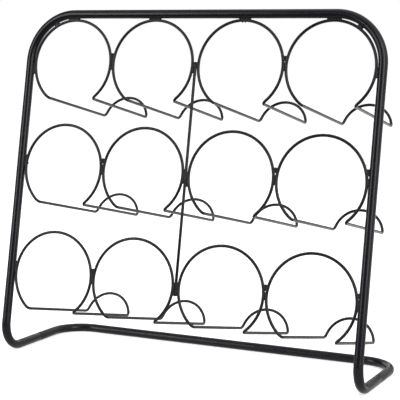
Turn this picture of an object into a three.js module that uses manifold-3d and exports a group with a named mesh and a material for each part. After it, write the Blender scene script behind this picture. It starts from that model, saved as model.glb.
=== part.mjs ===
// A free-standing wire wine rack for twelve bottles.
//
// One round steel tube makes the stand: a hoop that leans back, with its lower ends bent
// back along the floor, closed by a U-shaped rear base. Twelve bent-wire cradles hang in
// the hoop in three rows, each a front ring, two rails and a rear arch in one closed wire.
// A centre rod ties the rows together, and weld beads join wire to wire and wire to tube.
//
// Units are millimetres. +X runs to the right, +Y to the back and +Z up. The hoop and the
// rings are drawn in a leaning plane of their own: x across, y away from the plane's front,
// z up the slope, with the origin at the middle of the middle row.
import * as THREE from "three";
import { mergeVertices } from "three/addons/utils/BufferGeometryUtils.js";
import Module from "manifold-3d";

// Stock
const TUBE_DIAMETER = 9.5;
const TUBE_WALL = 0.8;
const WIRE_DIAMETER = 3.2;
const CLEARANCE = 0.3; // between a weld bead, or a plugged tube end, and its neighbour

// Layout of the cradles in the leaning plane
const RING_RADIUS = 47.6; // to the middle of the wire
const PAIR_PITCH = 98.8; // between two rings that touch each other
const ROD_PITCH = 102.2; // between the two rings that touch the centre rod
const UPPER_ROW_PITCH = 115.9;
const LOWER_ROW_PITCH = 118.1;
const RING_TO_TUBE = 0.35; // gap between the outer rings and the hoop

// One cradle, from its ring's centre
const RING_OPENING = THREE.MathUtils.degToRad(36.6); // from straight down to either rail
const RAIL_LENGTH = 130.7;
const RAIL_DROP = THREE.MathUtils.degToRad(1.15); // below the square to the ring
const REAR_CORNER_X = 27.8;
const ARCH_RISE = 23.9; // from the rails to the top of the arch
const ARCH_LEAN = THREE.MathUtils.degToRad(12.7); // back from the ring's own plane

// The stand
const LEAN = THREE.MathUtils.degToRad(10.5);
const HOOP_CORNER_RADIUS = 52;
const KNEE_HEIGHT = -204.4; // where leg and foot lines meet, up the slope
const KNEE_RADIUS = 25.3;
const KNEE_FLATTENING = 0.09; // share by which bending has widened the knees and thinned them
const KNEE_FLAT_REACH = 18; // how far up the leg the flattening fades out
const FOOT_LENGTH = 139; // from the knee to the rear crossbar
const REAR_CORNER_RADIUS = 35.4;
const FOOT_JOINT = 70; // from the knee to the joint of hoop and base
const PLUG_LENGTH = 18;
const PLUG_OUTER_RADIUS = 3.5;
const PLUG_INNER_RADIUS = 2.6;
const PLUG_ROOT_LENGTH = 2.5;

// The centre rod, beyond the middles of the top and bottom rows
const ROD_ABOVE = 3;
const ROD_BELOW = 7.8;

// Weld beads before they are cut: across, through the leaning plane, and up the slope
const PAIR_BEAD = [7.2, 4.8, 12];
const ROD_BEAD = [10.8, 5.4, 8];
const LEG_BEAD = [7, 5, 13];
const BAR_BEAD = [18, 5, 6];
const CORNER_BEAD = [7, 5, 6];

// How finely round things are faceted
const TUBE_SIDES = 16;
const BORE_SIDES = 8;
const WIRE_SIDES = 8;
const RING_STEPS = 24;
const ARCH_STEPS = 8;
const WIRE_BEND_STEPS = 2;
const TUBE_BEND_STEPS = 10;
const BEAD_SEGMENTS = 8;
const BEAD_RINGS = 6;

// Worked out from the dimensions above
const TUBE_RADIUS = TUBE_DIAMETER / 2;
const WIRE_RADIUS = WIRE_DIAMETER / 2;
const TUBE_TO_RING = RING_RADIUS + WIRE_RADIUS + RING_TO_TUBE + TUBE_RADIUS;
const COLUMNS = [
  -ROD_PITCH / 2 - PAIR_PITCH,
  -ROD_PITCH / 2,
  ROD_PITCH / 2,
  ROD_PITCH / 2 + PAIR_PITCH,
];
const ROWS = { top: UPPER_ROW_PITCH, middle: 0, bottom: -LOWER_ROW_PITCH };
const LEG_X = COLUMNS[3] + TUBE_TO_RING;
const TOP_BAR_Z = ROWS.top + TUBE_TO_RING;
const WIRE_BEND_LENGTH = 1.5 * WIRE_DIAMETER; // from a bend's corner to its straight

const BLACK_TUBE = new THREE.MeshStandardMaterial({ color: 0x17171a, roughness: 0.42, metalness: 0.1 });
const BLACK_WIRE = new THREE.MeshStandardMaterial({ color: 0x1d1d20, roughness: 0.48, metalness: 0.1 });
const BLACK_BEAD = new THREE.MeshStandardMaterial({ color: 0x141416, roughness: 0.6, metalness: 0.1 });

const wasm = await Module();
wasm.setup();

/** A path through given stations, each with its exact direction, and no others. */
class BentPath extends THREE.Curve {
  constructor(stations, closed = false) {
    super();
    this.stations = stations;
    this.steps = closed ? stations.length : stations.length - 1;
  }

  stationAt(t) {
    return this.stations[Math.round(t * this.steps) % this.stations.length];
  }

  getPoint(t, target = new THREE.Vector3()) {
    return target.copy(this.stationAt(t).point);
  }

  getTangent(t, target = new THREE.Vector3()) {
    return target.copy(this.stationAt(t).tangent);
  }

  getUtoTmapping(u) {
    return u;
  }
}

/** Stations on a circle about a centre, turning from start about an axis. */
function arcStations(centre, start, axis, angle, steps) {
  const stations = [];
  for (let i = 0; i <= steps; i++) {
    const radial = start.clone().sub(centre).applyAxisAngle(axis, (angle * i) / steps);
    const tangent = axis.clone().cross(radial).normalize();
    stations.push({ point: radial.add(centre), tangent });
  }
  return stations;
}

/** Stations of the bend that rounds a corner, starting at a given length before it. */
function bendStations(before, corner, after, length, steps) {
  const inward = corner.clone().sub(before).normalize();
  const outward = after.clone().sub(corner).normalize();
  const turn = inward.angleTo(outward);
  const radius = length / Math.tan(turn / 2);
  const axis = inward.clone().cross(outward).normalize();
  const start = corner.clone().addScaledVector(inward, -length);
  const centre = start.clone().addScaledVector(axis.clone().cross(inward), radius);
  return arcStations(centre, start, axis, turn, steps);
}

/** Stations of a bend with a given radius. */
function radiusBend(before, corner, after, radius, steps) {
  const turn = corner.clone().sub(before).angleTo(after.clone().sub(corner));
  return bendStations(before, corner, after, radius * Math.tan(turn / 2), steps);
}

/** Stations of a knee, from the foot up, flattened most where the leg starts to bend. */
function kneeStations(foot, knee, top) {
  const stations = radiusBend(foot, knee, top, KNEE_RADIUS, TUBE_BEND_STEPS);
  stations.forEach((station, i) => {
    station.flattening = KNEE_FLATTENING * Math.sin((Math.PI * i) / (2 * TUBE_BEND_STEPS));
  });
  const { point, tangent } = stations.at(-1);
  stations.push({ point: point.clone().addScaledVector(tangent, KNEE_FLAT_REACH), tangent });
  return stations;
}

/** The same stations, passed the other way. */
function backwards(stations) {
  return stations
    .map((station) => ({ ...station, tangent: station.tangent.clone().negate() }))
    .reverse();
}

/** The station at a path's free end, looking towards another point or away from it. */
function endStation(point, towards) {
  return { point, tangent: towards.clone().sub(point).normalize() };
}

/** A point of the leaning plane in the upright frame, with the floor at z = 0. */
function upright(x, y, z) {
  const fromKnee = z - KNEE_HEIGHT;
  return new THREE.Vector3(
    x,
    y * Math.cos(LEAN) + fromKnee * Math.sin(LEAN),
    TUBE_RADIUS - y * Math.sin(LEAN) + fromKnee * Math.cos(LEAN),
  );
}

/** A closed mesh with shared vertices, as a solid that can be cut. */
function solidOf(geometry) {
  const bare = geometry.clone();
  bare.deleteAttribute("normal");
  bare.deleteAttribute("uv");
  const merged = mergeVertices(bare, 1e-4);
  return new wasm.Manifold(
    new wasm.Mesh({
      numProp: 3,
      vertProperties: merged.getAttribute("position").array,
      triVerts: new Uint32Array(merged.index.array),
    }),
  );
}

/** The geometry of a solid, with flat-shaded faces. */
function geometryOf(solid) {
  const mesh = solid.getMesh();
  const shared = new THREE.BufferGeometry();
  shared.setAttribute("position", new THREE.BufferAttribute(mesh.vertProperties, 3));
  shared.setIndex(new THREE.BufferAttribute(mesh.triVerts, 1));
  const faceted = shared.toNonIndexed();
  faceted.computeVertexNormals();
  return faceted;
}

/** A regular outline with flats facing along its own axes, its flats at the given radius. */
function outline(Kind, flatRadius, sides) {
  const cornerRadius = flatRadius / Math.cos(Math.PI / sides);
  const corners = [];
  for (let i = 0; i < sides; i++) {
    const angle = ((i + 0.5) * 2 * Math.PI) / sides;
    corners.push(new THREE.Vector2(cornerRadius * Math.cos(angle), cornerRadius * Math.sin(angle)));
  }
  return new Kind(corners);
}

/** A tube along an open path, hollow from end to end unless its wall is left out. */
function openTube(stations, radius, wall = null) {
  const section = outline(THREE.Shape, radius, TUBE_SIDES);
  if (wall !== null) section.holes.push(outline(THREE.Path, radius - wall, BORE_SIDES));
  const path = new BentPath(stations);
  const tube = new THREE.ExtrudeGeometry(section, { steps: path.steps, extrudePath: path });
  return flattened(tube, stations);
}

/** A tube whose section at each station is wider across x and thinner square to it. */
function flattened(tube, stations) {
  const position = tube.getAttribute("position");
  const vertex = new THREE.Vector3();
  const distanceTo = (station) => station.point.distanceTo(vertex);
  for (let i = 0; i < position.count; i++) {
    vertex.fromBufferAttribute(position, i);
    const nearest = stations.reduce((a, b) => (distanceTo(b) < distanceTo(a) ? b : a));
    const { point, flattening = 0 } = nearest;
    const thin = 1 - flattening;
    const stretch = new THREE.Vector3(1 + flattening, thin, thin);
    vertex.sub(point).multiply(stretch).add(point);
    position.setXYZ(i, vertex.x, vertex.y, vertex.z);
  }
  return tube;
}

/** A solid wire along a closed path, its facets enclosing the round wire's own area. */
function closedWire(stations, radius) {
  const slice = (2 * Math.PI) / WIRE_SIDES;
  const cornerRadius = radius * Math.sqrt(slice / Math.sin(slice));
  const path = new BentPath(stations, true);
  return new THREE.TubeGeometry(path, path.steps, cornerRadius, WIRE_SIDES, true);
}

/** Stations of the hoop: foot, knee, leg, over the top and down to the other foot. */
function hoopStations() {
  const corner = (side, height) => upright(side * LEG_X, 0, height);
  const knee = [corner(-1, KNEE_HEIGHT), corner(1, KNEE_HEIGHT)];
  const top = [corner(-1, TOP_BAR_Z), corner(1, TOP_BAR_Z)];
  const foot = knee.map((point) => point.clone().setY(point.y + FOOT_JOINT));
  return [
    endStation(foot[0], knee[0]),
    ...kneeStations(foot[0], knee[0], top[0]),
    ...radiusBend(knee[0], top[0], top[1], HOOP_CORNER_RADIUS, TUBE_BEND_STEPS),
    ...radiusBend(top[0], top[1], knee[1], HOOP_CORNER_RADIUS, TUBE_BEND_STEPS),
    ...backwards(kneeStations(foot[1], knee[1], top[1])),
    { point: foot[1], tangent: new THREE.Vector3(0, 1, 0) },
  ];
}

/** The U-shaped base: two feet and the rear crossbar, with ends reduced to plug the hoop. */
function rearBase() {
  const at = (side, y) => new THREE.Vector3(side * LEG_X, y, TUBE_RADIUS);
  const jointY = FOOT_JOINT + CLEARANCE;
  const [startRight, rearRight] = [at(1, jointY), at(1, FOOT_LENGTH)];
  const [rearLeft, endLeft] = [at(-1, FOOT_LENGTH), at(-1, jointY)];
  const stations = [
    endStation(startRight, rearRight),
    ...radiusBend(startRight, rearRight, rearLeft, REAR_CORNER_RADIUS, TUBE_BEND_STEPS),
    ...radiusBend(rearRight, rearLeft, endLeft, REAR_CORNER_RADIUS, TUBE_BEND_STEPS),
    { point: endLeft, tangent: new THREE.Vector3(0, -1, 0) },
  ];
  let base = solidOf(openTube(stations, TUBE_RADIUS, TUBE_WALL));
  for (const side of [-1, 1]) {
    const plug = plugGeometry().translate(side * LEG_X, jointY, TUBE_RADIUS);
    base = base.add(solidOf(plug));
  }
  return geometryOf(base);
}

/** A reduced tube end: a hollow plug ahead of y = 0 and its root in the tube's wall. */
function plugGeometry() {
  const rootRadius = TUBE_RADIUS - TUBE_WALL / 2;
  const profile = [
    [PLUG_INNER_RADIUS, -PLUG_LENGTH],
    [PLUG_OUTER_RADIUS, -PLUG_LENGTH],
    [PLUG_OUTER_RADIUS, 0],
    [rootRadius, 0],
    [rootRadius, PLUG_ROOT_LENGTH],
    [PLUG_INNER_RADIUS, PLUG_ROOT_LENGTH],
    [PLUG_INNER_RADIUS, -PLUG_LENGTH],
  ];
  return new THREE.LatheGeometry(profile.map(([r, y]) => new THREE.Vector2(r, y)), TUBE_SIDES);
}

/** Stations of one cradle's closed wire, about its ring's centre. */
function cradleStations() {
  const mirrored = (point) => new THREE.Vector3(-point.x, point.y, point.z);
  const frontRadius = Math.hypot(RING_RADIUS, WIRE_BEND_LENGTH);
  const front = new THREE.Vector3(
    frontRadius * Math.sin(RING_OPENING),
    0,
    -frontRadius * Math.cos(RING_OPENING),
  );
  const railDepth = RAIL_LENGTH * Math.cos(RAIL_DROP);
  const railFall = RAIL_LENGTH * Math.sin(RAIL_DROP);
  const rear = new THREE.Vector3(REAR_CORNER_X, railDepth, front.z - railFall);

  // The arch's circle passes through its top and meets the rear bends in line with them.
  const archUp = new THREE.Vector3(0, Math.sin(ARCH_LEAN), Math.cos(ARCH_LEAN));
  const archRadius =
    (REAR_CORNER_X ** 2 + ARCH_RISE ** 2 - WIRE_BEND_LENGTH ** 2) / (2 * ARCH_RISE);
  const archCentre = new THREE.Vector3(0, rear.y, rear.z);
  archCentre.addScaledVector(archUp, ARCH_RISE - archRadius);
  const archAxis = new THREE.Vector3(1, 0, 0).cross(archUp);

  const ringAxis = new THREE.Vector3(0, 1, 0);
  const ring = curvedSide(new THREE.Vector3(), mirrored(front), ringAxis, RING_RADIUS, RING_STEPS);
  const arch = curvedSide(archCentre, rear, archAxis, archRadius, ARCH_STEPS);
  const bend = (before, corner, after) =>
    bendStations(before, corner, after, WIRE_BEND_LENGTH, WIRE_BEND_STEPS);
  return [
    ...ring.slice(1, -1),
    ...bend(ring.at(-1).point, front, rear),
    ...bend(front, rear, arch[0].point),
    ...arch.slice(1, -1),
    ...bend(arch.at(-1).point, mirrored(rear), mirrored(front)),
    ...bend(mirrored(rear), mirrored(front), ring[0].point),
  ];
}

/** The long way round a circle between the bends at a corner and at its mirror image. */
function curvedSide(centre, corner, axis, radius, steps) {
  const fromCentre = corner.clone().sub(centre);
  const offset = Math.atan2(WIRE_BEND_LENGTH, radius);
  const start = fromCentre.clone().applyAxisAngle(axis, offset).setLength(radius);
  const end = new THREE.Vector3(-start.x, start.y, start.z);
  const shortWay = start.angleTo(end);
  const turnsLeft = start.clone().cross(end).dot(axis) > 0;
  const angle = turnsLeft ? shortWay : 2 * Math.PI - shortWay;
  return arcStations(centre, start.add(centre), axis, angle, steps);
}

/** A weld bead: an ellipsoid turned in the leaning plane, less the metal it joins. */
function beadGeometry({ x, z, size, turn = 0 }, cutters) {
  const blob = new THREE.SphereGeometry(1, BEAD_SEGMENTS, BEAD_RINGS);
  blob.scale(size[0] / 2, size[1] / 2, size[2] / 2);
  blob.rotateY(turn);
  blob.translate(x, 0, z);
  let bead = solidOf(blob);
  for (const cutter of cutters) bead = bead.subtract(cutter);
  return geometryOf(bead);
}

function rodGeometry(radius, extra = 0) {
  const bottom = ROWS.bottom - ROD_BELOW - extra;
  const top = ROWS.top + ROD_ABOVE + extra;
  const rod = new THREE.CylinderGeometry(radius, radius, top - bottom, WIRE_SIDES);
  return rod.rotateX(Math.PI / 2).translate(0, 0, (top + bottom) / 2);
}

function mesh(name, geometry, material) {
  const made = new THREE.Mesh(geometry, material);
  made.name = name;
  return made;
}

/** What the beads are cut by: the hoop, the rod and every cradle, each a little fatter. */
function beadCutters() {
  const toPlane = new THREE.Matrix4()
    .makeRotationX(LEAN)
    .setPosition(0, 0, KNEE_HEIGHT)
    .multiply(new THREE.Matrix4().makeTranslation(0, 0, -TUBE_RADIUS));
  const hoop = openTube(hoopStations(), TUBE_RADIUS + CLEARANCE).applyMatrix4(toPlane);
  const cutters = { hoop: solidOf(hoop), rod: solidOf(rodGeometry(WIRE_RADIUS + CLEARANCE, CLEARANCE)) };
  for (const [row, z] of Object.entries(ROWS)) {
    cutters[row] = COLUMNS.map((x) => {
      const wire = closedWire(cradleStations(), WIRE_RADIUS + CLEARANCE);
      return solidOf(wire.translate(x, 0, z));
    });
  }
  return cutters;
}

/** One row's beads: at both legs, between each touching pair of rings, and at the rod. */
function rowBeads(row, heights, cutters) {
  const [ring1, ring2, ring3, ring4] = cutters[row];
  const between = (COLUMNS[2] + COLUMNS[3]) / 2;
  const legSide = COLUMNS[3] + RING_RADIUS + WIRE_RADIUS;
  const bead = (place, x, height, size, neighbours) => [
    `weld_${row}_${place}`,
    { x, z: ROWS[row] + height, size },
    neighbours,
  ];
  return [
    bead("left_leg", -legSide, heights.leftLeg, LEG_BEAD, [cutters.hoop, ring1]),
    bead("1_2", -between, heights.pair, PAIR_BEAD, [ring1, ring2]),
    bead("rod", 0, heights.rod, ROD_BEAD, [cutters.rod, ring2, ring3]),
    bead("3_4", between, heights.pair, PAIR_BEAD, [ring3, ring4]),
    bead("right_leg", legSide, heights.rightLeg, LEG_BEAD, [ring4, cutters.hoop]),
  ];
}

/** Beads on the top row's rings, along the top bar and in the hoop's two corners. */
function barBeads(cutters) {
  const seatRadius = RING_RADIUS + WIRE_RADIUS + RING_TO_TUBE;
  const bead = (place, column, degrees, size) => {
    const angle = THREE.MathUtils.degToRad(degrees);
    const x = COLUMNS[column] + seatRadius * Math.cos(angle);
    const z = ROWS.top + seatRadius * Math.sin(angle);
    const neighbours = [cutters.hoop, cutters.top[column]];
    return [`weld_${place}`, { x, z, size, turn: Math.PI / 2 - angle }, neighbours];
  };
  return [
    bead("corner_left", 0, 119.5, CORNER_BEAD),
    bead("bar_1", 0, 93.3, BAR_BEAD),
    bead("bar_2", 1, 90.8, BAR_BEAD),
    bead("bar_3", 2, 88.5, BAR_BEAD),
    bead("bar_4", 3, 90.1, BAR_BEAD),
    bead("corner_right", 3, 55.8, CORNER_BEAD),
  ];
}

const rack = new THREE.Group();
rack.add(mesh("front_hoop", openTube(hoopStations(), TUBE_RADIUS, TUBE_WALL), BLACK_TUBE));
rack.add(mesh("rear_base", rearBase(), BLACK_TUBE));

const leaning = new THREE.Group();
leaning.rotation.x = -LEAN;
leaning.position.copy(upright(0, 0, 0));
rack.add(leaning);

const cradleWire = closedWire(cradleStations(), WIRE_RADIUS);
for (const [row, z] of Object.entries(ROWS)) {
  COLUMNS.forEach((x, column) => {
    const cradle = mesh(`cradle_${row}_${column + 1}`, cradleWire, BLACK_WIRE);
    cradle.position.set(x, 0, z);
    leaning.add(cradle);
  });
}
leaning.add(mesh("centre_rod", rodGeometry(WIRE_RADIUS), BLACK_WIRE));

const cutters = beadCutters();
const beads = [
  ...rowBeads("top", { leftLeg: -7, pair: 5, rod: -1, rightLeg: -6 }, cutters),
  ...rowBeads("middle", { leftLeg: 7, pair: 6, rod: -8, rightLeg: 9 }, cutters),
  ...rowBeads("bottom", { leftLeg: 7, pair: 5, rod: -5, rightLeg: 6 }, cutters),
  ...barBeads(cutters),
];
for (const [name, shape, neighbours] of beads) {
  leaning.add(mesh(name, beadGeometry(shape, neighbours), BLACK_BEAD));
}

// The origin is on the floor, under the middle of the whole rack.
rack.updateMatrixWorld(true);
const extent = new THREE.Box3().setFromObject(rack, true);
const part = new THREE.Group();
rack.position.y = -(extent.min.y + extent.max.y) / 2;
part.add(rack);

export default part;
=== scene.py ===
"""A wire wine rack for twelve bottles, in black powder-coated steel, on a pale studio floor.

The CAD frame gives every place and section size. Here each tube, wire, rod and weld gets its
fine surface: round skins swept along exact arcs, a relieved joint in each foot, and weld
metal that runs into the wires it joins. Lengths are in metres.
"""

import math

import bpy
import numpy as np
from mathutils import Matrix, Vector


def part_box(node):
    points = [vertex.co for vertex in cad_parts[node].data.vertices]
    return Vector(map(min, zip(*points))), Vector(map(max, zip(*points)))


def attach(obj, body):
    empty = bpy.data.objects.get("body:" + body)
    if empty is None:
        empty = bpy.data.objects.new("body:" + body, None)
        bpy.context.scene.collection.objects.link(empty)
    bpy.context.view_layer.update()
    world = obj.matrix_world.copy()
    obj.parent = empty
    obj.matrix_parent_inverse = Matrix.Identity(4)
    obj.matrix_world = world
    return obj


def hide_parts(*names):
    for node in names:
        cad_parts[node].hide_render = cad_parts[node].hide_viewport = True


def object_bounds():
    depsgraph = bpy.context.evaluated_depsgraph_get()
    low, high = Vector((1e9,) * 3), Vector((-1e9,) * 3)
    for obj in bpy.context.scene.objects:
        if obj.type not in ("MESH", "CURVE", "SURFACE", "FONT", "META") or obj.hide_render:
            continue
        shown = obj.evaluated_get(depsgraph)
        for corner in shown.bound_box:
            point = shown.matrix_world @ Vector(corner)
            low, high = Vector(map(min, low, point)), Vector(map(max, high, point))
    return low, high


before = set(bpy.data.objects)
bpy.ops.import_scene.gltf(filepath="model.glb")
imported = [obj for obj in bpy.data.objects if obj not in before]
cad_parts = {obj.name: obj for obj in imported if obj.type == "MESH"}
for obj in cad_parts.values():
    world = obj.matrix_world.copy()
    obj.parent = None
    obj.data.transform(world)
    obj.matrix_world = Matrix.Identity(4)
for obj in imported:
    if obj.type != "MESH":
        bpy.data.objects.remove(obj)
cad_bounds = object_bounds()

MM = 0.001

# Bends and lengths that the frame's boxes can't give
LEAN = math.radians(10.5)
TUBE_WALL = 0.8 * MM
RING_RADIUS = 47.6 * MM  # to the middle of the wire
RING_OPENING = math.radians(36.6)  # from straight down to either rail
RAIL_LENGTH = 130.7 * MM
RAIL_DROP = math.radians(1.15)
REAR_CORNER_X = 27.8 * MM
ARCH_RISE = 23.9 * MM
ARCH_LEAN = math.radians(12.7)
WIRE_BEND_LENGTH = 4.8 * MM
HOOP_CORNER_RADIUS = 52 * MM
KNEE_RADIUS = 25.3 * MM
KNEE_TURN = math.pi / 2 - LEAN
KNEE_BEND_LENGTH = KNEE_RADIUS * math.tan(KNEE_TURN / 2)  # from the corner to the bend's end
KNEE_FLATTENING = 0.09  # share by which bending has widened the knees and thinned them
KNEE_FLAT_REACH = 18 * MM  # how far up the leg the flattening fades out
FOOT_LENGTH = 139 * MM  # from the knee to the rear crossbar
REAR_CORNER_RADIUS = 35.4 * MM
FOOT_JOINT = 70 * MM  # from the knee to the end of the hoop
PLUG_LENGTH = 18 * MM
PLUG_RADIUS = 3.5 * MM
PLUG_BORE = 2.6 * MM

# Fineness
TUBE_SIDES = 48
WIRE_SIDES = 20
RING_STEPS = 112
ARCH_STEPS = 44
WIRE_BEND_STEPS = 12
TUBE_BEND_STEPS = 36
KNEE_FADE_STEPS = 8
LIP = 0.45 * MM  # rounding of a cut tube end
LIP_STEPS = 4
ROD_EDGE = ((1, 0.5), (0.93, 0.16), (0.7, 0))  # shares of the radius, and mm below the end
NET_STEP = 0.3 * MM  # grid of the weld fields
SAME_PLACE = 0.001 * MM

# Places and sections from the frame
_, hoop_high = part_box("front_hoop")
base_low, base_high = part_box("rear_base")
rod_low, rod_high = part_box("centre_rod")
TUBE_RADIUS = base_high.z / 2
WIRE_RADIUS = rod_high.x
LEG_X = base_high.x - TUBE_RADIUS
REAR_Y = base_high.y - TUBE_RADIUS
KNEE = Vector((0, REAR_Y - FOOT_LENGTH, TUBE_RADIUS))
HOOP_END_Y = KNEE.y + FOOT_JOINT
BASE_END_Y = base_low.y + PLUG_LENGTH
TOP_BAR = (hoop_high.z - 2 * TUBE_RADIUS) / math.cos(LEAN)  # up the slope from the knee

# The leaning plane: x across, y to the back, z up the slope from the knee line
SLOPE = Matrix.Translation(KNEE) @ Matrix.Rotation(-LEAN, 4, "X")
ROWS = ("top", "middle", "bottom")
COLUMNS = (1, 2, 3, 4)


def ring_centre(row, column):
    """The middle of a cradle's front ring, in the leaning plane."""
    low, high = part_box(f"cradle_{row}_{column}")
    ring_top = (high.z - WIRE_RADIUS - KNEE.z) / math.cos(LEAN)
    return Vector(((low.x + high.x) / 2, 0, ring_top - RING_RADIUS))


CENTRES = {(row, column): ring_centre(row, column) for row in ROWS for column in COLUMNS}


# Paths: lists of stations, each a point and the direction of the path there


def arc(centre, start, axis, angle, steps):
    """Stations on a circle about a centre, turning from start about an axis."""
    stations = []
    for i in range(steps + 1):
        radial = Matrix.Rotation(angle * i / steps, 3, axis) @ (start - centre)
        stations.append((centre + radial, axis.cross(radial).normalized()))
    return stations


def bend(before, corner, after, length, steps):
    """Stations of the bend that rounds a corner, starting at a given length before it."""
    inward = (corner - before).normalized()
    outward = (after - corner).normalized()
    turn = inward.angle(outward)
    axis = inward.cross(outward).normalized()
    start = corner - inward * length
    centre = start + axis.cross(inward) * (length / math.tan(turn / 2))
    return arc(centre, start, axis, turn, steps)


def tube_bend(before, corner, after, radius):
    """Stations of a tube's bend with a given radius."""
    turn = (corner - before).angle(after - corner)
    return bend(before, corner, after, radius * math.tan(turn / 2), TUBE_BEND_STEPS)


def open_path(points, radii):
    """Stations of a tube through corner points, with a bend at every inner one."""
    first, last = points[0], points[-1]
    stations = [(first, (points[1] - first).normalized())]
    for before, corner, after, radius in zip(points, points[1:], points[2:], radii):
        stations += tube_bend(before, corner, after, radius)
    stations.append((last, (last - points[-2]).normalized()))
    return stations


def above_knee(point):
    """How far up a leg a point lies from the end of the knee's bend."""
    return (point.z - KNEE.z) / math.cos(LEAN) - KNEE_BEND_LENGTH


def with_fades(stations):
    """The hoop's stations, with more of them where the flattening fades out up each leg."""
    made = []
    for (start, tangent), (end, _) in zip(stations, stations[1:]):
        made.append((start, tangent))
        low, high = sorted((start, end), key=above_knee)
        if abs(above_knee(low)) < SAME_PLACE and above_knee(high) > KNEE_FLAT_REACH:
            rise = (high - low).normalized() * KNEE_FLAT_REACH
            shares = [i / KNEE_FADE_STEPS for i in range(1, KNEE_FADE_STEPS + 1)]
            if low is end:
                shares.reverse()
            made += [(low + rise * share, tangent) for share in shares]
    made.append(stations[-1])
    return made


def knee_flattening(point, tangent):
    """How much bending has flattened the hoop's section: most where a leg starts to bend."""
    turned = min(1, math.acos(min(1, abs(tangent.y))) / KNEE_TURN)
    faded = min(1, max(0, above_knee(point) / KNEE_FLAT_REACH))
    fade = 1 - faded * faded * (3 - 2 * faded)
    return KNEE_FLATTENING * math.sin(turned * math.pi / 2) * fade


def no_flattening(point, tangent):
    """The base's section stays round all along."""
    return 0


def mirrored(point):
    """The same place on the other side of the rack."""
    return Vector((-point.x, point.y, point.z))


def curved_side(centre, corner, axis, radius, steps):
    """The long way round a circle between the bends at a corner and at its mirror image."""
    offset = math.atan2(WIRE_BEND_LENGTH, radius)
    start = Matrix.Rotation(offset, 3, axis) @ (corner - centre).normalized() * radius
    end = mirrored(start)
    angle = start.angle(end)
    if start.cross(end).dot(axis) < 0:
        angle = 2 * math.pi - angle
    return arc(centre, centre + start, axis, angle, steps)


def cradle_path():
    """Stations of one cradle's closed wire, about its ring's centre in the leaning plane."""
    reach = math.hypot(RING_RADIUS, WIRE_BEND_LENGTH)
    front = Vector((reach * math.sin(RING_OPENING), 0, -reach * math.cos(RING_OPENING)))
    rail = RAIL_LENGTH * Vector((0, math.cos(RAIL_DROP), -math.sin(RAIL_DROP)))
    rear = Vector((REAR_CORNER_X, rail.y, front.z + rail.z))
    arch_up = Vector((0, math.sin(ARCH_LEAN), math.cos(ARCH_LEAN)))
    half_chord = math.sqrt(REAR_CORNER_X**2 - WIRE_BEND_LENGTH**2)
    arch_radius = (half_chord**2 + ARCH_RISE**2) / (2 * ARCH_RISE)
    arch_centre = Vector((0, rear.y, rear.z)) + arch_up * (ARCH_RISE - arch_radius)
    arch_axis = Vector((1, 0, 0)).cross(arch_up)

    ring = curved_side(Vector(), mirrored(front), Vector((0, 1, 0)), RING_RADIUS, RING_STEPS)
    arch = curved_side(arch_centre, rear, arch_axis, arch_radius, ARCH_STEPS)

    def corner(before, at, after):
        return bend(before, at, after, WIRE_BEND_LENGTH, WIRE_BEND_STEPS)

    return [
        *ring[1:-1],
        *corner(ring[-1][0], front, rear),
        *corner(front, rear, arch[0][0]),
        *arch[1:-1],
        *corner(arch[-1][0], mirrored(rear), mirrored(front)),
        *corner(mirrored(rear), mirrored(front), ring[0][0]),
    ]


# Skins


def carried_frames(stations, closed):
    """Each station with two square directions across it, carried along without twist."""
    tangents = [tangent for _, tangent in stations]
    across = [tangents[0].orthogonal().normalized()]
    for before, tangent in zip(tangents, tangents[1:]):
        turned = before.rotation_difference(tangent) @ across[-1]
        across.append((turned - tangent * turned.dot(tangent)).normalized())
    if closed:
        home = tangents[-1].rotation_difference(tangents[0]) @ across[-1]
        twist = home.angle(across[0])
        if home.cross(across[0]).dot(tangents[0]) < 0:
            twist = -twist
        across = [
            Matrix.Rotation(twist * i / len(across), 3, tangent) @ side
            for i, (side, tangent) in enumerate(zip(across, tangents))
        ]
    return [
        (np.array(point), np.array(tangent), np.array(side), np.array(tangent.cross(side)))
        for (point, tangent), side in zip(stations, across)
    ]


def loop(carried, radius, along, sides, flattening=0):
    """A circle of vertices round a path, pushed along it, wider across x if it is flattened."""
    point, tangent, across, side = carried
    angles = np.arange(sides) * (2 * math.pi / sides)
    circle = np.outer(np.cos(angles), across) + np.outer(np.sin(angles), side)
    circle *= (1 + flattening, 1 - flattening, 1 - flattening)
    return point + along * tangent + radius * circle


def skin(loops, closed):
    """Vertices and quads of a skin through circles of vertices."""
    sides = len(loops[0])
    faces = []
    last = len(loops) if closed else len(loops) - 1
    for i in range(last):
        here = i * sides
        there = (i + 1) % len(loops) * sides
        for k in range(sides):
            n = (k + 1) % sides
            faces.append((here + k, here + n, there + n, there + k))
    return np.concatenate(loops), faces


def piece(name, vertices, faces, material, node):
    """A smooth object that stands for a CAD node, with vertices in the rack's own frame."""
    mesh = bpy.data.meshes.new(name)
    mesh.from_pydata([tuple(v) for v in vertices], [], faces)
    mesh.shade_smooth()
    mesh.materials.append(material)
    made = bpy.data.objects.new(name, mesh)
    bpy.context.scene.collection.objects.link(made)
    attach(made, "root")
    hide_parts(node)
    return made


def placed(vertices, matrix):
    """Vertices moved and turned by a matrix."""
    turned = np.asarray(vertices) @ np.array(matrix.to_3x3()).T
    return turned + np.array(matrix.translation)


# The stand


def rounded_edge(radius, along):
    """A quarter-round edge of a cut end: (radius, along) pairs from the skin to the face."""
    angles = [i / LIP_STEPS * math.pi / 2 for i in range(LIP_STEPS + 1)]
    return [
        (radius - LIP * (1 - math.cos(angle)), along + LIP * (math.sin(angle) - 1))
        for angle in angles
    ]


def open_end():
    """Profile of a hoop end: a rounded lip and the start of the bore."""
    bore = TUBE_RADIUS - TUBE_WALL
    return [*rounded_edge(TUBE_RADIUS, 0), (bore, 0), (bore, -LIP)]


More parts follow.
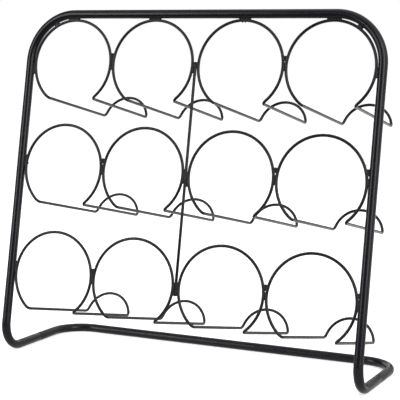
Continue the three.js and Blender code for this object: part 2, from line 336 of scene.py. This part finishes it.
def plugged_end():
    """Profile of a base end: a rounded shoulder, the reduced plug, and its bore into the tube."""
    return [
        *rounded_edge(TUBE_RADIUS, 0),
        (PLUG_RADIUS, 0),
        (PLUG_RADIUS, PLUG_LENGTH - LIP),
        *rounded_edge(PLUG_RADIUS, PLUG_LENGTH),
        (PLUG_BORE, PLUG_LENGTH),
        (PLUG_BORE, -TUBE_WALL),
        (TUBE_RADIUS - TUBE_WALL, -3 * TUBE_WALL),
    ]


def tube(name, stations, flattening, profile, material):
    """A hollow bent tube whose two ends have the same profile."""
    carried = carried_frames(stations, closed=False)
    bore = TUBE_RADIUS - TUBE_WALL
    inner = [(at, flattening(*station)) for at, station in zip(carried, stations)][1:-1]
    loops = [loop(at, TUBE_RADIUS, 0, TUBE_SIDES, flat) for at, flat in inner]
    loops += [loop(carried[-1], radius, along, TUBE_SIDES) for radius, along in profile]
    loops += [loop(at, bore, 0, TUBE_SIDES, flat) for at, flat in reversed(inner)]
    loops += [
        loop(carried[0], radius, -along, TUBE_SIDES) for radius, along in reversed(profile)
    ]
    vertices, faces = skin(loops, closed=True)
    made = piece(f"{name}_tube", vertices, faces, material, name)


def build_stand(material):
    """The hoop and the base, each from its end on one side round to its end on the other."""

    def on_floor(side, y):
        return Vector((side * LEG_X, y, KNEE.z))

    def shoulder(side):
        return SLOPE @ Vector((side * LEG_X, 0, TOP_BAR))

    hoop_corners = [
        on_floor(-1, HOOP_END_Y),
        on_floor(-1, KNEE.y),
        shoulder(-1),
        shoulder(1),
        on_floor(1, KNEE.y),
        on_floor(1, HOOP_END_Y),
    ]
    hoop_radii = [KNEE_RADIUS, HOOP_CORNER_RADIUS, HOOP_CORNER_RADIUS, KNEE_RADIUS]
    hoop = with_fades(open_path(hoop_corners, hoop_radii))
    base_corners = [
        on_floor(1, BASE_END_Y),
        on_floor(1, REAR_Y),
        on_floor(-1, REAR_Y),
        on_floor(-1, BASE_END_Y),
    ]
    base = open_path(base_corners, [REAR_CORNER_RADIUS, REAR_CORNER_RADIUS])
    tube("front_hoop", hoop, knee_flattening, open_end(), material)
    tube("rear_base", base, no_flattening, plugged_end(), material)


# Cradles and rod


def build_cradles(material):
    """The twelve cradles, all bent alike."""
    carried = carried_frames(cradle_path(), closed=True)
    vertices, faces = skin([loop(at, WIRE_RADIUS, 0, WIRE_SIDES) for at in carried], closed=True)
    for (row, column), centre in CENTRES.items():
        matrix = SLOPE @ Matrix.Translation(centre)
        node = f"cradle_{row}_{column}"
        made = piece(f"{node}_wire", placed(vertices, matrix), faces, material, node)


ROD_BOTTOM = (rod_low.z - KNEE.z) / math.cos(LEAN) + WIRE_RADIUS * math.tan(LEAN)
ROD_TOP = (rod_high.z - KNEE.z) / math.cos(LEAN) - WIRE_RADIUS * math.tan(LEAN)


def build_rod(material):
    """The centre rod, with its sheared ends' edges rounded off by the coat."""
    edge = [(WIRE_RADIUS * share, -fall * MM) for share, fall in ROD_EDGE]
    up = Vector((0, 0, 1))
    stations = [(Vector((0, 0, ROD_BOTTOM)), up), (Vector((0, 0, ROD_TOP)), up)]
    bottom, top = carried_frames(stations, closed=False)
    loops = [loop(bottom, radius, -along, WIRE_SIDES) for radius, along in reversed(edge)]
    loops += [loop(top, radius, along, WIRE_SIDES) for radius, along in edge]
    vertices, faces = skin(loops, closed=False)
    last = len(vertices) - WIRE_SIDES
    faces.append(tuple(reversed(range(WIRE_SIDES))))
    faces.append(tuple(range(last, last + WIRE_SIDES)))
    made = piece("centre_rod_wire", placed(vertices, SLOPE), faces, material, "centre_rod")


# Weld metal, as the zero surface of a field in the leaning plane

MELT = 0.75 * MM  # how far weld metal bites into what it joins
SUNK = 0.12 * MM  # how far the bead's skin lies under bare wire
FILLET = 1.0 * MM  # reach of the smooth run from bead to wire
PUDDLE_BLEND = 0.4 * MM  # reach of the smooth run from puddle to puddle
PUDDLE_PITCH = 1.5 * MM
PUDDLE_HALF = 1.25 * MM  # half of a puddle's length along its seam
PUDDLE_THICKNESS = 1.35 * MM  # half of it, for the thinnest puddle
PUDDLE_SWELLING = 0.25 * MM  # how much more the thickest has
PUDDLE_SHIFT = 0.3 * MM  # spread of the puddles across their seam
PUDDLE_RISE = 0.1 * MM  # how far the lowest puddle's middle stands out to the front
PUDDLE_UNEVENNESS = 0.25 * MM  # how much further the highest one's does
RIPPLE_HEIGHT = 0.05 * MM
RIPPLE_LENGTHS = np.array((0.55, 0.5, 0.6)) * MM
HOLE_RADII = (0.65 * MM, 0.38 * MM, 0.7 * MM)  # along the seam, across it and into the bead
HOLE_SLANT = np.array((-0.475, 1, 0.05))
HOLE_DEPTHS = np.linspace(-2.8, 2.8, 9) * MM
REACH = 1.7 * MM  # how far a bead's skin is followed past its puddles
LEAST_SLOPE = 1e-9  # keeps a lump's middle from dividing by zero
WELD_SEED = 12


def ring_field(row, column):
    """The field of distance to a cradle's front ring."""
    centre = CENTRES[row, column]

    def field(p):
        out = np.hypot(p[..., 0] - centre.x, p[..., 2] - centre.z) - RING_RADIUS
        return np.hypot(out, p[..., 1]) - WIRE_RADIUS

    return field


def rod_field(p):
    """Distance to the rod, cut off at its two ends."""
    radial = np.hypot(p[..., 0], p[..., 1]) - WIRE_RADIUS
    return np.maximum(radial, np.maximum(p[..., 2] - ROD_TOP, ROD_BOTTOM - p[..., 2]))


def hoop_field(p):
    """Distance to the hoop's skin: two legs, the top bar and the two corners' arcs."""
    inset = HOOP_CORNER_RADIUS
    x = np.maximum(np.abs(p[..., 0]) - (LEG_X - inset), 0)
    z = np.maximum(p[..., 2] - (TOP_BAR - inset), 0)
    out = np.hypot(x, z) - inset
    return np.hypot(out, p[..., 1]) - TUBE_RADIUS


def lump_field(p, centre, radii):
    """Rough distance to an ellipsoid."""
    q = (p - centre) / radii
    size = np.linalg.norm(q, axis=-1)
    slope = np.linalg.norm(q / radii, axis=-1)
    return size * (size - 1) / np.maximum(slope, LEAST_SLOPE)


def smooth_least(a, b, reach):
    """The lesser of two fields, with a smooth run from one to the other."""
    share = np.clip(0.5 + 0.5 * (b - a) / reach, 0, 1)
    return b + (a - b) * share - reach * share * (1 - share)


def surface_net(field, low, step):
    """Vertices and outward quads of the surface where a sampled field crosses zero."""
    cells = tuple(n - 1 for n in field.shape)
    total = np.zeros(cells + (3,))
    count = np.zeros(cells)
    crossings = []
    for axis in range(3):
        order = (axis, (axis + 1) % 3, (axis + 2) % 3)
        back = tuple(np.argsort(order))
        values = field.transpose(order)
        first, second = values[:-1], values[1:]
        crossed = (first < 0) != (second < 0)
        share = np.where(crossed, first / np.where(crossed, first - second, 1), 0)
        crossings.append((order, crossed, first < 0))
        for a in (0, 1):
            for b in (0, 1):
                part = np.s_[:, a : crossed.shape[1] - 1 + a, b : crossed.shape[2] - 1 + b]
                offset = np.zeros(crossed[part].shape + (3,))
                offset[..., order[0]] = share[part]
                offset[..., order[1]] = a
                offset[..., order[2]] = b
                offset *= crossed[part][..., None]
                count += crossed[part].transpose(back)
                total += offset.transpose(back + (3,))
    used = count > 0
    number = np.full(cells, -1)
    number[used] = np.arange(used.sum())
    vertices = low + step * (np.argwhere(used) + total[used] / count[used][:, None])
    faces = []
    for order, crossed, outward in crossings:
        ids = number.transpose(order)
        for i, j, k in np.argwhere(crossed[:, 1:-1, 1:-1]) + (0, 1, 1):
            quad = (ids[i, j - 1, k - 1], ids[i, j, k - 1], ids[i, j, k], ids[i, j - 1, k])
            faces.append(quad if outward[i, j, k] else quad[::-1])
    return vertices, [tuple(int(v) for v in face) for face in faces]


class Seam:
    """A line of contact between two pieces of metal, with weld puddles along stretches of it."""

    def __init__(self, origin, along, across, metal_a, metal_b):
        self.origin = np.array(origin)
        self.along = np.array(along)
        self.across = np.array(across)
        self.metal_a = metal_a
        self.metal_b = metal_b

    def at(self, distance, shift=0):
        """The middle of the gap at a distance along the seam, and half the gap's width."""
        point = self.origin + distance * self.along
        a, b = float(self.metal_a(point)), float(self.metal_b(point))
        return point + self.across * ((b - a) / 2 + shift), (a + b) / 2

    def lump(self, distance, shift, along, across, thick, front=0):
        """An ellipsoid of metal beside the seam, turned to lie along it."""
        centre, _ = self.at(distance, shift)
        centre = centre + np.array((0, front, 0))
        radii = np.abs(self.along) * along + np.abs(self.across) * across
        return centre, radii + np.array((0, thick, 0))

    def puddles(self, start, end, random):
        """Overlapping puddles that fill the gap from start to end."""
        count = max(2, round((end - start) / PUDDLE_PITCH))
        made = []
        for distance in np.linspace(start + PUDDLE_HALF, end - PUDDLE_HALF, count):
            _, gap = self.at(distance)
            thick = PUDDLE_THICKNESS + PUDDLE_SWELLING * random.random()
            shift = (random.random() - 0.5) * PUDDLE_SHIFT
            front = -(PUDDLE_RISE + PUDDLE_UNEVENNESS * random.random())
            made.append(self.lump(distance, shift, PUDDLE_HALF, gap + MELT, thick, front))
        return made


def weld(name, metals, lumps, material, holes=(), on_hoop=False):
    """A bead: lumps of metal run smoothly into the wires and tubes beside them."""
    centres = np.array([centre for centre, _ in lumps])
    radii = np.array([size for _, size in lumps])
    margin = REACH + 2 * NET_STEP
    low = (centres - radii).min(axis=0) - margin
    high = (centres + radii).max(axis=0) + margin
    axes = [np.arange(a, b, NET_STEP) for a, b in zip(low, high)]
    p = np.stack(np.meshgrid(*axes, indexing="ij"), axis=-1)

    metal = np.minimum.reduce([field(p) for field in metals]) + SUNK
    puddle = lump_field(p, *lumps[0])
    nearest = puddle
    for lump in lumps[1:]:
        distance = lump_field(p, *lump)
        puddle = smooth_least(puddle, distance, PUDDLE_BLEND)
        nearest = np.minimum(nearest, distance)
    ripple = np.sin(p / RIPPLE_LENGTHS + (0, 1, 0)).prod(axis=-1)
    field = smooth_least(metal, puddle + RIPPLE_HEIGHT * ripple, FILLET)
    for hole in holes:
        field = np.maximum(field, -lump_field(p, *hole))
    if on_hoop:  # the metal stays out of the hoop's bore
        field = np.maximum(field, -hoop_field(p) - TUBE_WALL)
    field = np.maximum(field, nearest - REACH)

    vertices, faces = surface_net(field, low, NET_STEP)
    made = piece(f"{name}_bead", placed(vertices, SLOPE), faces, material, name)


X = Vector((1, 0, 0))  # across the rack
Z = Vector((0, 0, 1))  # up the slope


def pair_seam(row, left):
    """Between two rings that touch."""
    a, b = CENTRES[row, left], CENTRES[row, left + 1]
    return Seam((a + b) / 2, Z, X, ring_field(row, left), ring_field(row, left + 1))


def leg_seam(row, column, side):
    """Between an outer ring and a leg of the hoop."""
    edge = CENTRES[row, column].x + side * (RING_RADIUS + WIRE_RADIUS)
    middle = (edge + side * (LEG_X - TUBE_RADIUS)) / 2
    origin = Vector((middle, 0, CENTRES[row, column].z))
    return Seam(origin, Z, X * side, ring_field(row, column), hoop_field)


def rod_seam(row, column, side):
    """Between the rod and the ring on one side of it."""
    edge = CENTRES[row, column].x - side * (RING_RADIUS + WIRE_RADIUS)
    origin = Vector(((edge + side * WIRE_RADIUS) / 2, 0, CENTRES[row, column].z))

    def endless_rod(p):
        return np.hypot(p[..., 0], p[..., 1]) - WIRE_RADIUS

    return Seam(origin, Z, X * side, endless_rod, ring_field(row, column))


def hoop_seam(column, degrees):
    """Between a top ring and the bar or corner of the hoop, at an angle round the ring."""
    angle = math.radians(degrees)
    out = Vector((math.cos(angle), 0, math.sin(angle)))
    along = Vector((math.sin(angle), 0, -math.cos(angle)))
    ring = ring_field("top", column)
    origin = CENTRES["top", column] + out * (RING_RADIUS + WIRE_RADIUS)
    return Seam(origin, along, out, ring, hoop_field)


# Where the beads lie, in mm along their seams from the closest contact: up the slope beside
# the rings, and clockwise round the ring along the hoop. A bead fills one stretch. Some have
# pin-holes, or marks: each a place, an offset across the seam and a radius.
PAIR_WELDS = {
    ("top", 1): ((-6.4, 11.8), []),
    ("top", 3): ((-4.4, 11.2), [4.9]),
    ("middle", 1): ((-4.8, 13), [6.9]),
    ("middle", 3): ((-5, 13), [5.9, 6.8]),
    ("bottom", 1): ((-5.3, 11.8), []),
    ("bottom", 3): ((-3.2, 12.6), [5.3]),
}
LEG_WELDS = {
    ("top", 1): ((-12.7, -1), [], []),
    ("top", 4): ((-10.1, 0), [], []),
    ("middle", 1): ((0, 12.9), [], [(3.3, -4, 0.75)]),
    ("middle", 4): ((-1, 16), [6.8, 7.7, 8.6], [(19.7, -1.2, 0.5)]),
    ("bottom", 1): ((0, 12.5), [], []),
    ("bottom", 4): ((-6, 12.3), [6.6], []),
}
# Left of the rod, right of it, and a lump on the rod itself: its place and radius
ROD_WELDS = {
    "top": ((-8.3, 2.3), (-3.3, 3.1), (2.2, 1.5)),
    "middle": ((-9.2, 6), (-12.4, 2.8), (-6, 1.7)),
    "bottom": ((-8.5, 5.3), (-8.5, 5.6), (-7.2, 1.8)),
}
ROD_LUMP_RISE = 0.1 * MM  # how far its middle stands out to the front
# Column, degrees round its ring, stretch and marks
BAR_WELDS = {
    "bar_1": (1, 90, (-9.9, 4.2), []),
    "bar_2": (2, 90, (-8.4, 6), []),
    "bar_3": (3, 90, (-5.4, 8), [(-1.2, -3.6, 0.65), (1.8, -3.6, 0.65)]),
    "bar_4": (4, 90, (-7.8, 7.6), []),
    "corner_left": (1, 119.5, (-2.7, 2.7), []),
    "corner_right": (4, 55.8, (-2.7, 2.7), []),
}


def pin_hole(seam, place):
    """A hole left unfilled, slanting right through the bead, as a row of overlapping lumps."""
    centre, radii = seam.lump(place * MM, 0, *HOLE_RADII)
    return [(centre + HOLE_SLANT * depth, radii) for depth in HOLE_DEPTHS]


def mark(seam, place, offset, radius):
    """A drip or a burr: a small ball of metal beside a seam."""
    return seam.lump(place * MM, offset * MM, radius * MM, radius * MM, radius * MM)


def build_welds(material):
    """Every bead, row by row at the rings' sides and then along the top bar."""
    random = np.random.default_rng(WELD_SEED)

    def filled(seam, stretch):
        start, end = stretch
        return seam.puddles(start * MM, end * MM, random)

    for (row, left), (stretch, places) in PAIR_WELDS.items():
        seam = pair_seam(row, left)
        lumps = filled(seam, stretch)
        holes = [lump for place in places for lump in pin_hole(seam, place)]
        name = f"weld_{row}_{left}_{left + 1}"
        weld(name, [seam.metal_a, seam.metal_b], lumps, material, holes)

    for (row, column), (stretch, places, marks) in LEG_WELDS.items():
        side, side_name = (-1, "left") if column == 1 else (1, "right")
        seam = leg_seam(row, column, side)
        lumps = filled(seam, stretch) + [mark(seam, *spot) for spot in marks]
        holes = [lump for place in places for lump in pin_hole(seam, place)]
        name = f"weld_{row}_{side_name}_leg"
        weld(name, [seam.metal_a, seam.metal_b], lumps, material, holes, on_hoop=True)

    for row, (left, right, (place, radius)) in ROD_WELDS.items():
        left_seam = rod_seam(row, 2, -1)
        right_seam = rod_seam(row, 3, 1)
        lumps = filled(left_seam, left) + filled(right_seam, right)
        centre = np.array((0, -ROD_LUMP_RISE, CENTRES[row, 2].z + place * MM))
        lumps.append((centre, np.full(3, radius * MM)))
        metals = [rod_field, left_seam.metal_b, right_seam.metal_b]
        weld(f"weld_{row}_rod", metals, lumps, material)

    for place, (column, degrees, stretch, marks) in BAR_WELDS.items():
        seam = hoop_seam(column, degrees)
        lumps = filled(seam, stretch) + [mark(seam, *spot) for spot in marks]
        weld(f"weld_{place}", [seam.metal_a, seam.metal_b], lumps, material, on_hoop=True)


# Materials

NOISE_LOW, NOISE_HIGH = 0.35, 0.65  # between these lie nearly all values of a noise
# Scales are in noise cells to the metre
TONE_SCALE = 60
GLOSS_SCALE = 220
PEEL_SCALE = 700
PEEL_DEPTH = 0.1 * MM
GRAIN_SCALE = 3500
GRAIN_DEPTH = 0.02 * MM
GRAIN_STRENGTH = 0.15


def powder_coat(name, dark, light, roughness, peel):
    """Black powder coat: orange peel, fine grain, and slow changes of tone and gloss."""
    material = bpy.data.materials.new(name)
    material.use_nodes = True
    nodes, links = material.node_tree.nodes, material.node_tree.links
    shader = nodes["Principled BSDF"]
    shader.inputs["Specular IOR Level"].default_value = 0.25
    place = nodes.new("ShaderNodeTexCoord").outputs["Object"]

    def noise(scale, detail):
        made = nodes.new("ShaderNodeTexNoise")
        made.inputs["Scale"].default_value = scale
        made.inputs["Detail"].default_value = detail
        links.new(place, made.inputs["Vector"])
        return made.outputs["Fac"]

    def spread(value, low, high):
        made = nodes.new("ShaderNodeMapRange")
        made.inputs["From Min"].default_value = NOISE_LOW
        made.inputs["From Max"].default_value = NOISE_HIGH
        made.inputs["To Min"].default_value = low
        made.inputs["To Max"].default_value = high
        links.new(value, made.inputs["Value"])
        return made.outputs["Result"]

    tone = nodes.new("ShaderNodeMix")
    tone.data_type = "RGBA"
    tone.inputs["A"].default_value = (*dark, 1)
    tone.inputs["B"].default_value = (*light, 1)
    links.new(spread(noise(TONE_SCALE, 3), 0, 1), tone.inputs["Factor"])
    links.new(tone.outputs["Result"], shader.inputs["Base Color"])
    links.new(spread(noise(GLOSS_SCALE, 4), *roughness), shader.inputs["Roughness"])

    waves = nodes.new("ShaderNodeBump")
    waves.inputs["Strength"].default_value = peel
    waves.inputs["Distance"].default_value = PEEL_DEPTH
    links.new(noise(PEEL_SCALE, 2), waves.inputs["Height"])
    grain = nodes.new("ShaderNodeBump")
    grain.inputs["Strength"].default_value = GRAIN_STRENGTH
    grain.inputs["Distance"].default_value = GRAIN_DEPTH
    links.new(noise(GRAIN_SCALE, 2), grain.inputs["Height"])
    links.new(waves.outputs["Normal"], grain.inputs["Normal"])
    links.new(grain.outputs["Normal"], shader.inputs["Normal"])
    return material


def only_to_camera(tree, seen, mirrored_light, output):
    """Shows the camera one shader, and every other ray another."""
    mix = tree.nodes.new("ShaderNodeMixShader")
    rays = tree.nodes.new("ShaderNodeLightPath")
    tree.links.new(rays.outputs["Is Camera Ray"], mix.inputs["Fac"])
    tree.links.new(mirrored_light, mix.inputs[1])
    tree.links.new(seen, mix.inputs[2])
    tree.links.new(mix.outputs["Shader"], tree.nodes[output].inputs["Surface"])


# Painted light on the floor, seen only in the coat's reflections, standing in for light from the
# backdrop:
# depths behind the rack's middle, each with its glow. In front of the first and behind the last,
# the glow stays the same.
FLOOR_GLOW = ((-0.45, 0), (-0.15, 0.7), (0.1, 0.8), (0.3, 1.8))


def plain_floor(name):
    """Plain white to the camera. To the coat: a painted glow, dark in front and brighter towards
    the back.
    """
    material = bpy.data.materials.new(name)
    material.use_nodes = True
    nodes, links = material.node_tree.nodes, material.node_tree.links
    paper = nodes["Principled BSDF"]
    paper.inputs["Base Color"].default_value = (0.9, 0.9, 0.9, 1)
    paper.inputs["Roughness"].default_value = 0.8
    paper.inputs["Specular IOR Level"].default_value = 0.1
    paper.inputs["Emission Color"].default_value = (1, 1, 1, 1)
    paper.inputs["Emission Strength"].default_value = 0.5

    nearest, deepest = FLOOR_GLOW[0][0], FLOOR_GLOW[-1][0]
    brightest = max(level for _, level in FLOOR_GLOW)
    place = nodes.new("ShaderNodeSeparateXYZ")
    links.new(nodes.new("ShaderNodeTexCoord").outputs["Object"], place.inputs["Vector"])
    depth_share = nodes.new("ShaderNodeMapRange")
    depth_share.inputs["From Min"].default_value = nearest
    depth_share.inputs["From Max"].default_value = deepest
    links.new(place.outputs["Y"], depth_share.inputs["Value"])
    ramp = nodes.new("ShaderNodeValToRGB")
    stops = ramp.color_ramp.elements
    for depth, _ in FLOOR_GLOW[1:-1]:
        stops.new((depth - nearest) / (deepest - nearest))
    for stop, (_, level) in zip(stops, FLOOR_GLOW):
        stop.color = (level / brightest,) * 3 + (1,)
    links.new(depth_share.outputs["Result"], ramp.inputs["Fac"])
    # The painted glow that the coat mirrors: light painted on the floor, which is no lamp
    glow = nodes.new("ShaderNodeEmission")
    glow.inputs["Strength"].default_value = brightest
    links.new(ramp.outputs["Color"], glow.inputs["Color"])
    only_to_camera(
        material.node_tree, paper.outputs["BSDF"], glow.outputs["Emission"], "Material Output"
    )
    return material


# Studio

CAMERA_AZIMUTH = math.radians(25.57)  # to the right of the front
CAMERA_ELEVATION = math.radians(6.88)
CAMERA_ROLL = math.radians(0.53)
CAMERA_DISTANCE = 1379.5 * MM
CAMERA_LENS = 114.13  # on a 36 mm sensor
AIM_RIGHT = -9.94 * MM  # from the middle of the rack's box, in the camera's level frame
AIM_UP = -15.51 * MM
COVE_MIDDLE = Vector((0.45, 0.2, 0.87))  # direction of the middle of the white cove
COVE_LIGHT = 1.1
COVE_START = 0.25  # cosine of the angle off the cove's middle at which it begins to show
COVE_FULL = 0.7
FLOOR_HALF = 12.0  # half the width and depth of the floor
# Name, place, width, height and power in watts
SOFT_BOXES = (
    ("key_left", (-1.06, -1.33, 0.7), 0.75, 1.25, 16),
    ("key_right", (1.3, -1.09, 0.85), 0.9, 1.5, 20),
    ("fill_back", (-1.39, 0.98, 0.9), 0.7, 0.9, 2.6),
    ("backdrop", (-1.02, 1.36, 0.5), 2, 0.5, 3.8),
)


def build_floor():
    """A wide flat floor under the rack."""
    mesh = bpy.data.meshes.new("floor")
    corners = [
        (x * FLOOR_HALF, y * FLOOR_HALF, 0) for x, y in ((-1, -1), (1, -1), (1, 1), (-1, 1))
    ]
    mesh.from_pydata(corners, [], [(0, 1, 2, 3)])
    mesh.materials.append(plain_floor("floor_paper"))
    floor = bpy.data.objects.new("floor", mesh)
    bpy.context.scene.collection.objects.link(floor)


def soft_box(name, place, width, height, power, target):
    """A rectangular light that faces the rack."""
    data = bpy.data.lights.new(name, "AREA")
    data.shape = "RECTANGLE"
    data.size = width
    data.size_y = height
    data.energy = power
    light = bpy.data.objects.new(name, data)
    light.visible_camera = False
    light.location = place
    light.rotation_euler = (Vector(place) - target).to_track_quat("Z", "Y").to_euler()
    bpy.context.scene.collection.objects.link(light)


def build_world():
    """Plain white to the camera. To the coat: a white cove behind and over the rack."""
    world = bpy.data.worlds.new("studio")
    bpy.context.scene.world = world
    world.use_nodes = True
    nodes, links = world.node_tree.nodes, world.node_tree.links
    room = nodes["Background"]
    paper = nodes.new("ShaderNodeBackground")
    for background in (room, paper):
        background.inputs["Color"].default_value = (1, 1, 1, 1)
    toward = nodes.new("ShaderNodeVectorMath")
    toward.operation = "DOT_PRODUCT"
    toward.inputs[1].default_value = COVE_MIDDLE
    links.new(nodes.new("ShaderNodeTexCoord").outputs["Generated"], toward.inputs[0])
    cove = nodes.new("ShaderNodeMapRange")
    cove.interpolation_type = "SMOOTHSTEP"
    cove.inputs["From Min"].default_value = COVE_START
    cove.inputs["From Max"].default_value = COVE_FULL
    cove.inputs["To Max"].default_value = COVE_LIGHT
    links.new(toward.outputs["Value"], cove.inputs["Value"])
    links.new(cove.outputs["Result"], room.inputs["Strength"])
    only_to_camera(
        world.node_tree, paper.outputs["Background"], room.outputs["Background"], "World Output"
    )


def build_camera(middle):
    """A long lens from the front right, a little above the rack's middle."""
    turn, rise = CAMERA_AZIMUTH, CAMERA_ELEVATION
    forward = Vector(
        (-math.sin(turn) * math.cos(rise), math.cos(turn) * math.cos(rise), -math.sin(rise))
    )
    right = forward.cross(Vector((0, 0, 1))).normalized()
    up = right.cross(forward)
    aim = middle + right * AIM_RIGHT + up * AIM_UP
    rotation = Matrix((right, up, -forward)).transposed()
    rotation = Matrix.Rotation(-CAMERA_ROLL, 3, forward) @ rotation
    data = bpy.data.cameras.new("camera")
    data.lens = CAMERA_LENS
    data.sensor_width = 36
    data.clip_start = 0.05
    camera = bpy.data.objects.new("camera", data)
    camera.matrix_world = Matrix.Translation(aim - forward * CAMERA_DISTANCE) @ rotation.to_4x4()
    bpy.context.scene.collection.objects.link(camera)
    bpy.context.scene.camera = camera


middle = (Vector(cad_bounds[0]) + Vector(cad_bounds[1])) / 2
build_camera(middle)
build_floor()
build_world()
for box in SOFT_BOXES:
    soft_box(*box, target=middle)
bpy.context.scene.view_settings.view_transform = "Standard"

tube_coat = powder_coat(
    "tube_coat",
    dark=(0.006, 0.0057, 0.0082),
    light=(0.009, 0.0087, 0.0115),
    roughness=(0.24, 0.31),
    peel=0.14,
)
wire_coat = powder_coat(
    "wire_coat",
    dark=(0.007, 0.0067, 0.0092),
    light=(0.011, 0.0107, 0.0135),
    roughness=(0.26, 0.34),
    peel=0.14,
)
weld_coat = powder_coat(
    "weld_coat",
    dark=(0.005, 0.0048, 0.0068),
    light=(0.009, 0.0087, 0.0112),
    roughness=(0.36, 0.5),
    peel=0.7,
)

build_stand(tube_coat)
build_cradles(wire_coat)
build_rod(wire_coat)
build_welds(weld_coat)
